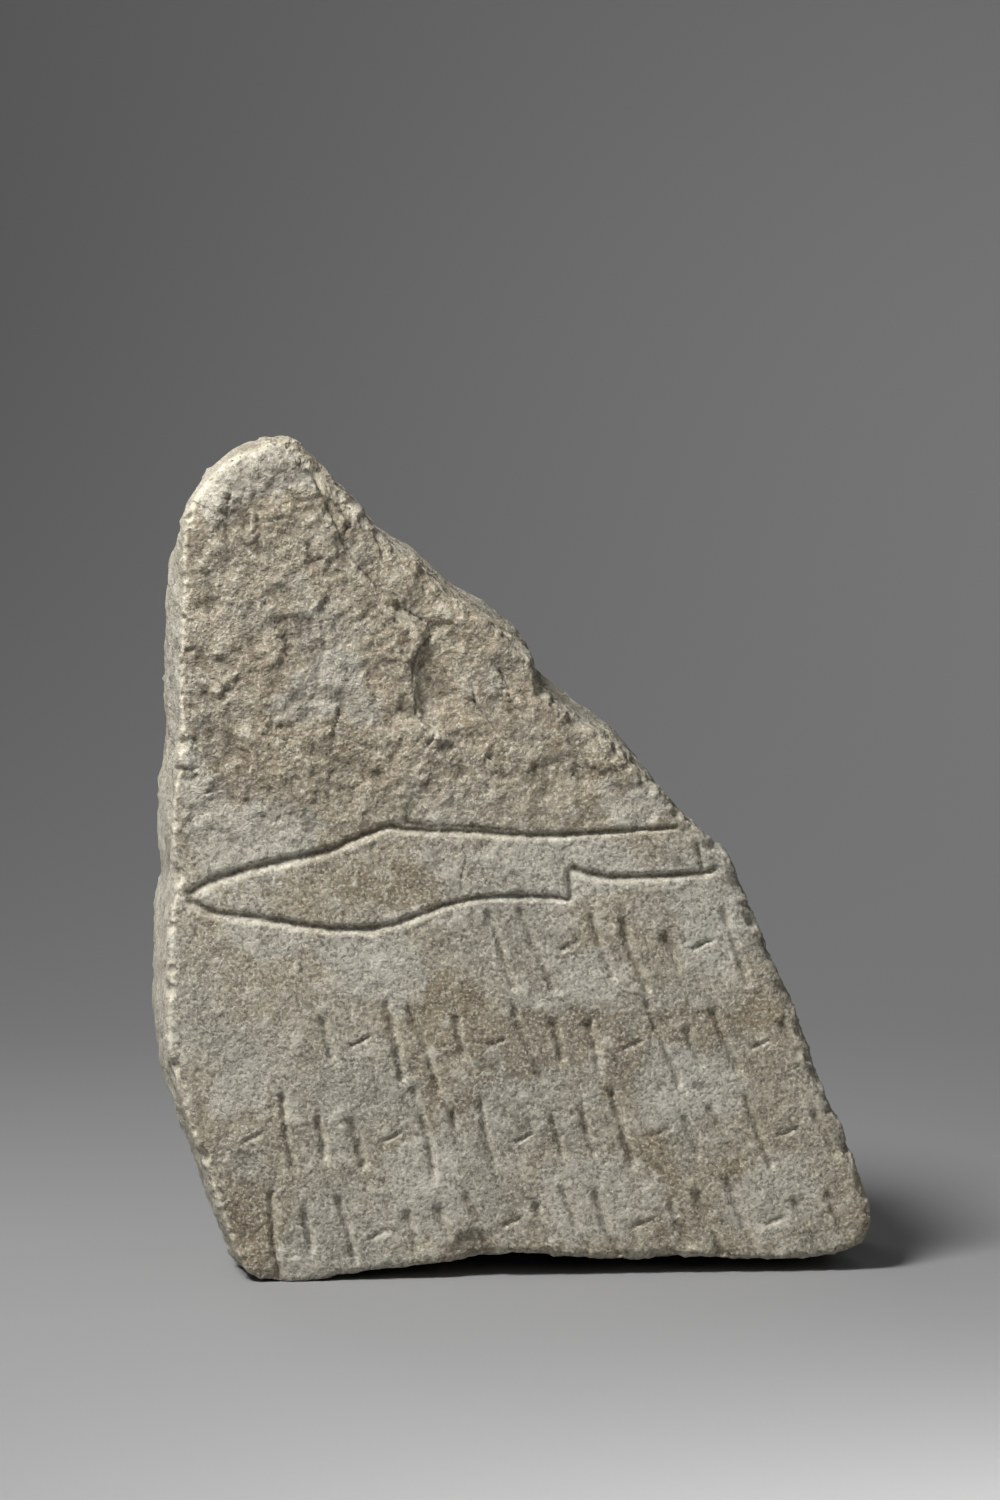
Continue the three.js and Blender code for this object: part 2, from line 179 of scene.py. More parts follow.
# Lights: place and aim in metres, width, power and how wide they shine in degrees
LIGHTS = {
    "key": ((-0.44, -0.34, 0.76), (0, -0.02, 0.07), 0.27, 3.3, 100),
    "fill": ((0.45, -1.15, 0.70), (0.03, -0.38, 0.02), 0.9, 0.3, 90),
    "foreground": ((0.16, -0.55, 0.60), (0.16, -0.54, 0.0), 0.3, 3.1, 74),
    "backdrop": ((0.85, 0.25, 0.95), (0.25, 1.10, 0.45), 0.5, 4.1, 120),
    "behind": ((-0.50, 1.20, 0.90), (0.0, 0.05, 0.08), 0.6, 0.35, 60),
}
WORLD_STRENGTH = 0.06
FLOOR_GREY = 0.265

# The stone's colours, as display values of red, green and blue
STONE_GREY = (166, 162, 149)
STONE_WARM = (163, 154, 134)
CRUST_BROWN = (164, 149, 125)
STAIN_BROWN = (132, 115, 88)
BLOOM = (194, 191, 179)
SIDE_GREY = (186, 181, 167)
DARK_GRAIN = (84, 77, 64)
# The light grain colour also serves as a painted highlight on raised places; the dirt colour also serves as
# painted shade in hollows and on shaded groove walls
LIGHT_GRAIN_AND_HIGHLIGHT = (226, 221, 205)
DIRT_AND_SHADE = (66, 57, 44)
CREAM = (226, 218, 197)

# Lime bloom and brown stains on the front: place in shares, then half width and half height in mm
PALE_PATCHES = [
    (0.082, 0.945, 13, 9), (0.140, 0.965, 13, 7), (0.670, 0.565, 8, 8), (0.130, 0.520, 20, 13),
    (0.140, 0.414, 9, 7), (0.105, 0.237, 8, 9), (0.753, 0.220, 14, 10), (0.612, 0.357, 10, 6),
    (0.560, 0.490, 24, 8), (0.600, 0.090, 22, 9), (0.360, 0.110, 12, 14), (0.300, 0.370, 14, 10),
    (0.860, 0.090, 14, 9), (0.780, 0.420, 9, 12), (0.230, 0.700, 13, 9), (0.060, 0.560, 8, 16),
]
STAINED_PATCHES = [
    (0.640, 0.232, 6, 10), (0.682, 0.110, 8, 11), (0.845, 0.307, 7, 4), (0.400, 0.283, 12, 17),
    (0.120, 0.078, 8, 11), (0.810, 0.113, 4, 5), (0.194, 0.445, 2, 2), (0.173, 0.473, 2, 2),
    (0.430, 0.030, 7, 5), (0.300, 0.470, 16, 6), (0.750, 0.300, 12, 6), (0.560, 0.280, 20, 8),
]


def smooth(value, low, high):
    """0 below low, 1 above high and a smooth rise between them."""
    t = np.clip((value - low) / (high - low), 0.0, 1.0)
    return t * t * (3 - 2 * t)


def scatter(n):
    """A repeatable number from 0 to 1 for each whole number."""
    value = math.sin(n * 12.9898 + 78.233) * 43758.5453
    return value - math.floor(value)


def place(shares):
    """Places on the front in millimetres, from shares, turned a little about the left foot."""
    upright = (np.asarray(shares, float) - (0.5, 0.0)) * (WIDTH, HEIGHT)
    foot = ((OUTLINE[0][0] - 0.5) * WIDTH, 0.0)
    turned = (upright - foot) @ [[math.cos(STANDING_TILT), math.sin(STANDING_TILT)],
                                 [-math.sin(STANDING_TILT), math.cos(STANDING_TILT)]]
    return turned + foot


# Noise

def hashed(cell, seed):
    """A repeatable number from 0 to 1 for each whole-numbered cell."""
    primes = np.array([73856093, 19349663, 83492791], dtype=np.uint64)
    whole = cell.astype(np.int64).astype(np.uint64)
    mixed = (whole * primes).sum(axis=-1) + np.uint64(seed * 2654435761)
    mixed = (mixed ^ (mixed >> np.uint64(13))) * np.uint64(1274126177)
    mixed = (mixed ^ (mixed >> np.uint64(16))) & np.uint64(0xFFFFFF)
    return mixed.astype(float) / 0xFFFFFF


def noise(points, size, seed):
    """Smooth noise from -1 to 1 whose lumps are about size across."""
    p = points / size
    base = np.floor(p)
    f = p - base
    f = f * f * f * (f * (f * 6 - 15) + 10)
    total = np.zeros(len(points))
    for corner in np.ndindex(2, 2, 2):
        weight = np.prod(np.where(corner, f, 1 - f), axis=1)
        total += weight * hashed(base + corner, seed)
    return total * 2 - 1


def layered(points, size, seed, layers=3, gain=0.5):
    """Noise with finer and weaker layers on top."""
    total = np.zeros(len(points))
    strength, reach = 1.0, 0.0
    for layer in range(layers):
        total += strength * noise(points, size / 2 ** layer, seed + layer)
        reach += strength
        strength *= gain
    return total / reach


def drifts(points, size, seed, layers=3, gain=0.5):
    """Three independent layered noises, one for each axis."""
    return np.stack([layered(points, size, seed + axis, layers, gain) for axis in range(3)], axis=1)


def spot_in(cell, seed):
    """A repeatable place inside each cell, as shares of the cell."""
    return np.stack([hashed(cell, seed + axis) for axis in range(3)], axis=1)


def grains(points, size, seed):
    """Distance to the nearest of scattered points, as a share of size: 0 at a point."""
    p = points / size
    base = np.floor(p)
    nearest = np.full(len(points), 9.0)
    for step in np.ndindex(3, 3, 3):
        cell = base + np.array(step) - 1
        spot = cell + spot_in(cell, seed)
        nearest = np.minimum(nearest, ((spot - p) ** 2).sum(axis=1))
    return np.sqrt(nearest)


def plates(points, size, seed):
    """Flakes about size across, each at its own height and tilt, from 0 to 1 with steps between them."""
    p = points / size
    base = np.floor(p)
    first, second = np.full(len(points), 9.0), np.full(len(points), 9.0)
    own, other = np.zeros(len(points)), np.zeros(len(points))
    for step in np.ndindex(3, 3, 3):
        cell = base + np.array(step) - 1
        arm = p - cell - spot_in(cell, seed)
        away = np.linalg.norm(arm, axis=1)
        level = hashed(cell, seed + 3) + 0.7 * ((hashed(cell, seed + 4) - 0.5) * arm[:, 0]
                                                + (hashed(cell, seed + 5) - 0.5) * arm[:, 2])
        closer = away < first
        next_one = ~closer & (away < second)
        other = np.where(closer, own, np.where(next_one, level, other))
        second = np.where(closer, first, np.where(next_one, away, second))
        own = np.where(closer, level, own)
        first = np.where(closer, away, first)
    return own + 0.5 * (other - own) * (1 - smooth(second - first, 0.0, 0.16))


# The outline as a smooth closed curve

def closed_curve(corners, steps):
    """Points along a closed centripetal Catmull-Rom curve through the corners."""
    corners = np.asarray(corners, float)
    pieces = []
    t = np.linspace(0, 1, steps, endpoint=False)[:, None]
    for i in range(len(corners)):
        p0, p1, p2, p3 = (corners[(i + k) % len(corners)] for k in (-1, 0, 1, 2))
        d0, d1, d2 = (np.sqrt(np.linalg.norm(b - a)) for a, b in ((p0, p1), (p1, p2), (p2, p3)))
        m1 = ((p1 - p0) / d0 - (p2 - p0) / (d0 + d1) + (p2 - p1) / d1) * d1
        m2 = ((p2 - p1) / d1 - (p3 - p1) / (d1 + d2) + (p3 - p2) / d2) * d1
        a, b = 2 * p1 - 2 * p2 + m1 + m2, -3 * p1 + 3 * p2 - 2 * m1 - m2
        pieces.append(((a * t + b) * t + m1) * t + p1)
    return np.concatenate(pieces)


RIM_STEPS = 24
RIM = closed_curve(place(OUTLINE), RIM_STEPS)
RIM_CENTRE = place(MIDDLE)


def rim_table():
    """The rim by its bearing from the middle: bearing, x, z and the direction that faces out."""
    arm = RIM - RIM_CENTRE
    bearing = np.unwrap(np.arctan2(arm[:, 1], arm[:, 0]))
    step = np.roll(RIM, -6, axis=0) - np.roll(RIM, 6, axis=0)
    out = np.stack([-step[:, 1], step[:, 0]], axis=1)
    out /= np.linalg.norm(out, axis=1)[:, None]
    order = np.argsort(bearing)
    return bearing[order], RIM[order], out[order]


RIM_BEARING, RIM_PLACE, RIM_OUT = rim_table()


def rim_at(bearing):
    """The rim's place and outward direction at each bearing."""
    turned = RIM_BEARING[0] + np.mod(bearing - RIM_BEARING[0], math.tau)
    columns = [np.interp(turned, RIM_BEARING, column, period=math.tau)
               for column in (*RIM_PLACE.T, *RIM_OUT.T)]
    spot = np.stack(columns[:2], axis=1)
    out = np.stack(columns[2:], axis=1)
    return spot, out / np.linalg.norm(out, axis=1)[:, None]


# The slab's form: each direction from its middle is a place on its skin

CAP_EDGE = math.radians(62)
SIDE_EDGE = math.radians(118)


def tilt_of(direction):
    """The angle between each direction and straight out of the front."""
    return np.arccos(np.clip(-direction[:, 1], -1, 1))


def bearing_of(direction):
    """The angle of each direction around the middle of the front."""
    return np.arctan2(direction[:, 2], direction[:, 0])


def front_hollow(x, z):
    """How far the dressed front lies behind its foremost plane."""
    broad = np.sin(x / FRONT_WAVE_PITCH + 1.3) * np.cos(z / FRONT_WAVE_PITCH - 0.4)
    narrow = np.sin(2 * (x + z) / FRONT_WAVE_PITCH)
    return FRONT_WAVE * (1.5 + broad + 0.5 * narrow)


def side_offset(spot, out, share):
    """How far the side stands outside the front outline at a share of the way to the back."""
    up = spot[:, 1] / HEIGHT
    towards_break = np.maximum(0, out @ BREAK_DIRECTION)
    high_up = smooth(up, 0.5, 0.62) * (1 - smooth(up, 0.95, 1.0))
    flare = BREAK_FLARE * towards_break ** 2 * high_up * share
    apex = smooth(up, 0.8, 0.95)
    left = LEFT_SIDE_FLARE * np.maximum(0, -out[:, 0]) ** 2 * np.sin(share * math.pi * 0.7) * (1 - apex)
    under = UNDERSIDE_DROP * np.maximum(0, -out[:, 1]) ** 3 * smooth(share, 0.1, 0.75)
    return flare + left + under - APEX_TAPER * apex * share


def slab_point(direction):
    """The slab's skin in each direction."""
    tilt = tilt_of(direction)
    spot, out = rim_at(bearing_of(direction))
    share = np.clip((tilt - CAP_EDGE) / (SIDE_EDGE - CAP_EDGE), 0, 1)
    depth = share * THICKNESS
    behind = np.maximum(0, depth - (THICKNESS - BACK_EDGE_WEAR))
    inset_back = BACK_EDGE_WEAR - np.sqrt(np.maximum(0, BACK_EDGE_WEAR ** 2 - behind ** 2))
    edge = spot + out * (side_offset(spot, out, share) - inset_back)[:, None]
    from_front, from_back = tilt / CAP_EDGE, (math.pi - tilt) / (math.pi - SIDE_EDGE)
    drawn = np.clip(np.where(tilt < CAP_EDGE, from_front, from_back), 0, 1)
    flat = RIM_CENTRE + (edge - RIM_CENTRE) * drawn[:, None]
    return np.stack([flat[:, 0], FRONT + depth, flat[:, 1]], axis=1)


def zones(direction):
    """Shares of front, side and back for each direction, adding up to one."""
    tilt = tilt_of(direction)
    past_front = smooth(tilt, CAP_EDGE - 0.004, CAP_EDGE + 0.03)
    past_side = smooth(tilt, SIDE_EDGE - 0.06, SIDE_EDGE + 0.02)
    return 1 - past_front, past_front * (1 - past_side), past_side


# Carved lines

def spline(corners, steps):
    """Points along an open Catmull-Rom curve through the corners."""
    corners = np.asarray(corners, float)
    if len(corners) == 2:
        return corners
    ends = np.concatenate([[2 * corners[0] - corners[1]], corners, [2 * corners[-1] - corners[-2]]])
    t = np.linspace(0, 1, steps, endpoint=False)[:, None]
    pieces = []
    for p0, p1, p2, p3 in zip(ends, ends[1:], ends[2:], ends[3:]):
        pieces.append(0.5 * (2 * p1 + (p2 - p0) * t + (2 * p0 - 5 * p1 + 4 * p2 - p3) * t ** 2
                             + (3 * p1 - p0 - 3 * p2 + p3) * t ** 3))
    return np.concatenate(pieces + [corners[-1:]])


def stroke(x, z, angle, length, seed):
    """A stroke about a point: its angle is counted from straight down towards the right."""
    along = np.array([math.sin(angle), -math.cos(angle)])
    across = np.array([-along[1], along[0]])
    bend = (scatter(seed + 400) - 0.5) * 0.08 * length
    middle = np.array([x, z])
    return np.array([middle - along * length / 2, middle + across * bend, middle + along * length / 2])


def strokes():
    """The worn strokes and ticks: separate marks that spell nothing."""
    marks = []
    for row, (start, end) in enumerate(ROW_SPANS):
        count = int((end - start) * WIDTH / STROKE_SPACING) + 1
        for i in range(count):
            seed = row * ROW_SEEDS + i
            x = (start - 0.5) * WIDTH + i * STROKE_SPACING + (scatter(seed) - 0.5) * STROKE_DRIFT
            z = TOP_ROW_HEIGHT - row * ROW_PITCH + (scatter(seed + 200) - 0.5) * ROW_DRIFT
            lean = LEAN_LEFT + (LEAN_RIGHT - LEAN_LEFT) * (x / WIDTH + 0.5)
            lean += (scatter(seed + 300) - 0.5) * LEAN_DRIFT
            if (i + row) % TICK_EVERY == 2:
                marks.append(stroke(x, z, math.pi / 2 + TICK_RISE, TICK_LENGTH, seed))
            else:
                length = STROKE_LENGTH * STROKE_PATTERN[(i * 3 + row) % len(STROKE_PATTERN)]
                marks.append(stroke(x, z, lean, length, seed))
    return marks


def carved_lines():
    """Every cut line: its points, its width at each end, its depth, its taper and its share of dirt and
    painted shade.
    """
    lines = []
    for shares, start, end in KNIFE_LINES:
        lines.append((spline(place(shares), 6), KNIFE_LINE_WIDTH * start, KNIFE_LINE_WIDTH * end,
                      KNIFE_LINE_DEPTH, 1.0, 1.0))
    for number, line in enumerate(strokes()):
        across, down = abs(line[0] - line[2])
        slim = TICK_SLIMNESS if across > down else 1.0
        width = slim * STROKE_WIDTH * (1.0 + 0.4 * scatter(number + 900))
        longer = line + STROKE_RUN_OUT * np.array([line[0] - line[1], (0, 0), line[2] - line[1]])
        depth = slim * STROKE_DEPTH * (1.0 + 0.5 * scatter(number + 950))
        lines.append((longer, width, width * 0.85, depth, STROKE_TAPER * slim, STROKE_DIRT_AND_SHADE))
    for shares, width, depth in CRACKS:
        lines.append((spline(place(shares), 4), width, width * 0.7, depth, 2.0, 1.0))
    return lines


LINES = carved_lines()


def near_line(points, line):
    """Distance from each point to a line, how far along it that is, the whole length and the offset."""
    nearest = np.full(len(points), 1e9)
    along = np.zeros(len(points))
    offset = np.zeros(points.shape)
    run = 0.0
    for a, b in zip(line, line[1:]):
        step = b - a
        length = np.linalg.norm(step)
        t = np.clip((points - a) @ step / length ** 2, 0, 1)
        arm = points - a - t[:, None] * step
        distance = np.linalg.norm(arm, axis=1)
        closer = distance < nearest
        nearest[closer] = distance[closer]
        along[closer] = (run + t * length)[closer]
        offset[closer] = arm[closer]
        run += length
    return nearest, along, run, offset


def in_space(points):
    """Flat points with a third coordinate of nothing, for the noise."""
    return np.stack([points[:, 0], points[:, 1], np.zeros(len(points))], axis=1)


def around(points, line, reach):
    """Which points lie within reach of the line's box."""
    low, high = line.min(axis=0) - reach, line.max(axis=0) + reach
    return np.flatnonzero(((points > low) & (points < high)).all(axis=1))


def line_distance(points, reach):
    """Distance from each point to the edge of the nearest cut line, at most reach."""
    nearest = np.full(len(points), reach)
    for line, start, *_ in LINES:
        found = around(points, line, reach + start)
        distance = near_line(points[found], line)[0]
        nearest[found] = np.minimum(nearest[found], np.maximum(0, distance - start / 2))
    return nearest


def line_depth(points):
    """How deep the cut lines are at each point, the dirt and painted shade on the wall nearer the light, and
    the painted highlight on the lip away from it.
    """
    deep = np.zeros(len(points))
    groove_dirt_and_shade = np.zeros(len(points))
    lit_lip = np.zeros(len(points))
    spread = in_space(points)
    warp = np.stack([layered(spread, 2.2, 31, 2), layered(spread, 2.2, 37, 2)], axis=1)
    wander = points + 0.22 * warp
    for number, (line, start, end, depth, taper, dirt_and_shade_share) in enumerate(LINES):
        found = around(points, line, max(start, end) * 2)
        distance, along, run, offset = near_line(wander[found], line)
        half = 0.5 * (start + (end - start) * along / run)
        swell = 1 + 0.16 * noise(np.stack([along, along * 0 + number * 7, half * 0], axis=1), 3.2, 41)
        ends = smooth(np.minimum(along, run - along), -0.4, taper)
        inside = np.clip(1 - distance / (half * swell), 0, 1)
        profile = inside * (1.5 - 0.5 * inside) * ends * swell
        # The groove's wall nearer the light lies in shade: it gets painted shade on top of a little dirt
        shaded_wall = smooth(offset @ TOWARDS_LIGHT, -0.35 * half, 0.25 * half)
        deep[found] = np.maximum(deep[found], depth * profile)
        groove_dirt_and_shade[found] = np.maximum(groove_dirt_and_shade[found], dirt_and_shade_share * profile * ends * (0.12 + 0.88 * shaded_wall))
        # Painted highlight on the groove's lip away from the light, where its wall faces the light
        paler = smooth(distance / half, 0.25, 0.6) * (1 - smooth(distance / half, 1.0, 1.5))
        lit_lip[found] = np.maximum(lit_lip[found], ends * paler * (1 - shaded_wall))
    return deep, groove_dirt_and_shade, lit_lip


def inside_outline(points, outline):
    """Signed distance to a closed outline: above 0 inside it."""
    closed = np.concatenate([outline, outline[:1]])
    distance = near_line(points, closed)[0]
    within = np.zeros(len(points), bool)
    for a, b in zip(closed, closed[1:]):
        crosses = (a[1] > points[:, 1]) != (b[1] > points[:, 1])
        where = a[0] + (points[:, 1] - a[1]) * (b[0] - a[0]) / (b[1] - a[1] + 1e-12)
        within ^= crosses & (points[:, 0] < where)
    return np.where(within, distance, -distance)


def scar_depth(points):
    """How deep the lost flakes are at each point, and the distance to the nearest step."""
    deep = np.zeros(len(points))
    step = np.full(len(points), 9.0)
    spread = in_space(points)
    ragged = 0.7 * layered(spread, 4.0, 51, 3, 0.6)
    for scar in SCARS:
        signed = inside_outline(points, place(scar["outline"])) + ragged
        away = np.linalg.norm(points - place(scar["deep"]), axis=1) / scar["reach"]
        strength = 1 - smooth(away, 0.2, 1.1)
        slope = 0.6 + 9 * np.maximum(0, away - 0.45)
        deep += SCAR_DEPTH * scar["depth"] * strength * smooth(signed, -0.3, slope)
        step = np.where(strength > 0.2, np.minimum(step, np.abs(signed)), step)
    return deep, step


# Mesh with fine triangles where the carving needs them

# An edge may be longer than wanted by the slack; a side about as long as a triangle's longest is split too
EDGE_SCALE = 1.2
SPLIT_ROUNDS = 12
EDGE_SLACK = 1.25
LEADING_SIDE = 0.72

# How near to the front edge a direction is moved onto it, in radians
ARRIS_REACH = 0.0036


def round_ball():
    """A ball of even triangles as directions and corners."""
    bm = bmesh.new()
    bmesh.ops.create_icosphere(bm, subdivisions=5, radius=1.0)
    directions = np.array([v.co[:] for v in bm.verts])
    corners = np.array([[v.index for v in f.verts] for f in bm.faces])
    bm.free()
    return directions / np.linalg.norm(directions, axis=1)[:, None], corners


def wanted_edge(direction, point):
    """The longest edge wanted at each place, in millimetres."""
    front, side, back = zones(direction)
    flat = point[:, [0, 2]]
    carved = line_distance(flat, 4.0)
    step = np.minimum(scar_depth(flat)[1], 4.0)
    rim = np.abs(point[:, 1] - FRONT)
    on_front = 0.60 + 0.17 * smooth(np.minimum(carved, step), 0.2, 2.5)
    on_side = 0.78 + 1.25 * smooth(rim, 3.0, 18.0)
    want = front * on_front + side * on_side + back * 2.2
    tilt = tilt_of(direction)
    off_arris = np.abs(tilt - CAP_EDGE) * 70
    outward = rim_at(bearing_of(direction))[1]
    on_arris = 0.42 + 0.3 * smooth(off_arris, 1.0, 3.0) + 0.35 * smooth(outward[:, 0], -0.2, 0.3)
    return EDGE_SCALE * np.minimum(want, on_arris + smooth(off_arris, 3.0, 4.0))


def refined():
    """Splits long edges until every edge is as short as its place wants."""
    direction, corners = round_ball()
    for _ in range(SPLIT_ROUNDS):
        point = slab_point(direction)
        want = wanted_edge(direction, point)
        sides = np.concatenate([corners[:, [0, 1]], corners[:, [1, 2]], corners[:, [2, 0]]])
        pairs, which = np.unique(np.sort(sides, axis=1), axis=0, return_inverse=True)
        which = which.reshape(3, -1).T
        length = np.linalg.norm(point[pairs[:, 0]] - point[pairs[:, 1]], axis=1)
        limit = np.minimum(want[pairs[:, 0]], want[pairs[:, 1]]) * EDGE_SLACK
        longest = length[which].max(axis=1)
        leads = np.zeros(len(pairs), bool)
        for side in range(3):
            lead = length[which[:, side]] >= LEADING_SIDE * longest
            leads[which[lead, side]] = True
        split = (length > limit) & leads
        if not split.any():
            break
        middle = direction[pairs[split, 0]] + direction[pairs[split, 1]]
        middle /= np.linalg.norm(middle, axis=1)[:, None]
        number = np.full(len(pairs), -1)
        number[split] = len(direction) + np.arange(split.sum())
        direction = np.concatenate([direction, middle])
        corners = split_corners(corners, number[which], length[which])
    return onto_arris(direction), corners


def onto_arris(direction):
    """Moves the directions that nearly meet the front edge onto it, so that the edge runs evenly."""
    tilt = tilt_of(direction)
    bearing = bearing_of(direction)
    close = np.abs(tilt - CAP_EDGE) < ARRIS_REACH
    tilt = np.where(close, CAP_EDGE, tilt)
    return np.stack([np.sin(tilt) * np.cos(bearing), -np.cos(tilt), np.sin(tilt) * np.sin(bearing)], axis=1)


def split_corners(corners, cut, length):
    """The triangles after their cut sides are split; cut holds each side's new point or -1."""
    count = (cut >= 0).sum(axis=1)
    done = [corners[count == 0]]
    for turn in range(3):
        order = [turn, (turn + 1) % 3, (turn + 2) % 3]
        a, b, c = corners[:, order].T
        ab, bc, ca = cut[:, order].T
        one = (count == 1) & (ab >= 0)
        done.append(np.stack([a, ab, c], axis=1)[one])
        done.append(np.stack([ab, b, c], axis=1)[one])
        two = (count == 2) & (ca < 0)
        done.append(np.stack([ab, b, bc], axis=1)[two])
        first = length[:, order[0]] >= length[:, order[1]]
        through_ab, through_bc = ((a, ab, c), (ab, bc, c)), ((a, ab, bc), (a, bc, c))
        for chosen, triangles in ((first, through_ab), (~first, through_bc)):
            for triangle in triangles:
                done.append(np.stack(triangle, axis=1)[two & chosen])
    three = count == 3
    a, b, c = corners[three].T
    ab, bc, ca = cut[three].T
    for triangle in ((a, ab, ca), (ab, b, bc), (ca, bc, c), (ab, bc, ca)):
        done.append(np.stack(triangle, axis=1))
    return np.concatenate(done)


def vertex_normals(point, corners):
    """Unit normals of the points from their triangles."""
    a, b, c = (point[corners[:, k]] for k in range(3))
    face = np.cross(b - a, c - a)
    total = np.zeros_like(point)
    for k in range(3):
        for axis in range(3):
            total[:, axis] += np.bincount(corners[:, k], weights=face[:, axis], minlength=len(point))
    return total / np.maximum(np.linalg.norm(total, axis=1), 1e-12)[:, None]


# Relief of the stone

def crust_share(point):
    """How rough and crusted the face is at each place: the upper part most."""
    drift = 10 * layered(point, 22, 61, 3)
    upper = smooth(point[:, 2] + drift, 98, 124)
    lower_left = 0.55 * smooth(-point[:, 0] + drift, 50, 72) * smooth(-point[:, 2] + drift, -48, -20)
    return np.maximum(upper, lower_left)


def weathering(point, crust):
    """The lumps, flakes and pockets of the weathered skin about its mean, and how sunk each place is."""
    drift = drifts(point, 2.4, 201, 2)
    loose = point + 0.9 * drift
    flakes = 0.5 - 0.5 * layered(loose, 5.0, 85, 4, 0.68)
    creases = 1 - 2 * np.abs(layered(loose, 3.6, 211, 3, 0.65))
    beads = np.minimum(grains(loose, 1.7, 91), 1.0)
    scales = plates(point + 1.5 * drift, 4.4, 231)
    pockets = smooth(layered(loose, 3.0, 95, 3, 0.65), 0.16, 0.55)
    deep = ((0.52 + 0.70 * crust) * (flakes - 0.5) + (0.16 + 0.20 * crust) * (creases - 0.5)
            + (0.16 + 0.16 * crust) * (beads - 0.5) + (0.08 + 0.22 * crust) * (pockets - 0.2)
            + (0.06 + 0.85 * crust) * (scales - 0.5))
    sunk = 0.42 * flakes + 0.2 * creases + 0.15 * beads + 0.25 * pockets + (0.1 + 0.3 * crust) * scales
    return deep, sunk


def ledges(point):
    """How far the flaked part of the face steps down in ledges, in millimetres, and where it is flaked."""
    flaked = patch_share(point, FLAKED_PATCHES, 141)
    loose = point + 1.8 * drifts(point, 6.0, 221, 3, 0.6)
    along = np.stack([loose[:, [0, 2]] @ (0.86, 0.5), np.zeros(len(point)),
                      loose[:, [0, 2]] @ (-0.5, 0.86) / 1.9], axis=1)
    return LEDGE_DROP * flaked * (plates(along, LEDGE_PITCH, 131) - 0.35), flaked


def worn_edge(spot, out):
    """How far the front edge is worn back at each place on the rim, in millimetres."""
    around_rim = np.stack([spot[:, 0], np.zeros(len(spot)), spot[:, 1]], axis=1)
    apex = smooth(spot[:, 1], 172, 194)
    break_side = smooth(out @ BREAK_DIRECTION, 0.3, 0.8)
    uneven = layered(around_rim, 6.0, 71, 4, 0.7)
    foot = smooth(-out[:, 1], 0.6, 0.9)
    jagged = (1.2 + 2.2 * break_side + 1.6 * foot) * uneven
    return 2.3 + 6.0 * apex + 0.6 * break_side - 0.4 * foot + jagged


def edge_chips():
    """Chips out of the front edge: their centres and radii, the larger ones where the CAD solid has them."""
    spots = [(int(where * RIM_STEPS), CHIP_SIZE * (0.7 + 0.6 * scatter(number + 600)))
             for number, where in enumerate(CHIP_PLACES)]
    for number in range(SMALL_CHIPS):
        radius = SMALL_CHIP_SIZE * (0.6 + 1.2 * scatter(number + 1400))
        spots.append((int(scatter(number + 1200) * len(RIM)), radius))
    centres = []
    for index, radius in spots:
        bearing = np.arctan2(*(RIM[index] - RIM_CENTRE)[::-1])
        spot, out = rim_at(np.array([bearing]))
        sunk = EDGE_CUT * worn_edge(spot, out)[0]
        x, z = spot[0] + out[0] * (CHIP_CENTRE * radius - sunk)
        centres.append(((x, FRONT - CHIP_CENTRE * radius + sunk, z), radius))
    return centres


def wear_edge(direction, point):
    """Bevels the front edge and takes its chips out of it; returns how pale each place is: wear on the edge,
    with a painted highlight where the edge faces left and at the apex.
    """
    tilt = tilt_of(direction)
    spot, out = rim_at(bearing_of(direction))
    reach = np.abs(((spot - RIM_CENTRE) * out).sum(axis=1))
    inward = np.where(tilt < CAP_EDGE, (1 - tilt / CAP_EDGE) * reach, 0)
    behind = point[:, 1] - FRONT
    size = np.maximum(0.5, worn_edge(spot, out))
    short = EDGE_CUT * size * np.maximum(0, 1 - (inward + behind) / size) ** (5 / 3)
    diagonal = np.stack([-out[:, 0], np.ones(len(out)), -out[:, 1]], axis=1)
    point += diagonal * short[:, None]
    diagonal /= math.sqrt(2)
    chipped = np.zeros(len(point))
    for centre, radius in edge_chips():
        arm = point - centre
        found = np.flatnonzero((arm ** 2).sum(axis=1) < radius ** 2)
        arm = arm[found]
        towards = (arm * diagonal[found]).sum(axis=1)
        travel = -towards + np.sqrt(np.maximum(0, towards ** 2 + radius ** 2 - (arm ** 2).sum(axis=1)))
        point[found] += diagonal[found] * travel[:, None]
        chipped[found] = 1
    # Painted highlight: the left-facing edge and the apex, where the light falls, are painted paler
    lit_side = 0.12 + 0.88 * smooth(-out @ (0.9, 0.1), 0.1, 0.7) + 0.35 * smooth(spot[:, 1], 180, 194)
    near = smooth(1.0 + 0.18 * size - inward - behind, 0, 1.9)
    return np.clip(np.maximum(near, 0.4 * chipped) * lit_side, 0, 1)


def patch_share(point, patches, seed):
    """How far each place lies in one of the patches, with ragged borders."""
    share = np.zeros(len(point))
    ragged = layered(point, 9.0, seed, 4, 0.65)
    for across, up, half_width, half_height in patches:
        away = np.hypot(*((point[:, [0, 2]] - place((across, up))) / (half_width, half_height)).T)
        share = np.maximum(share, 1 - smooth(away + 0.75 * ragged, 0.45, 1.35))
    return share


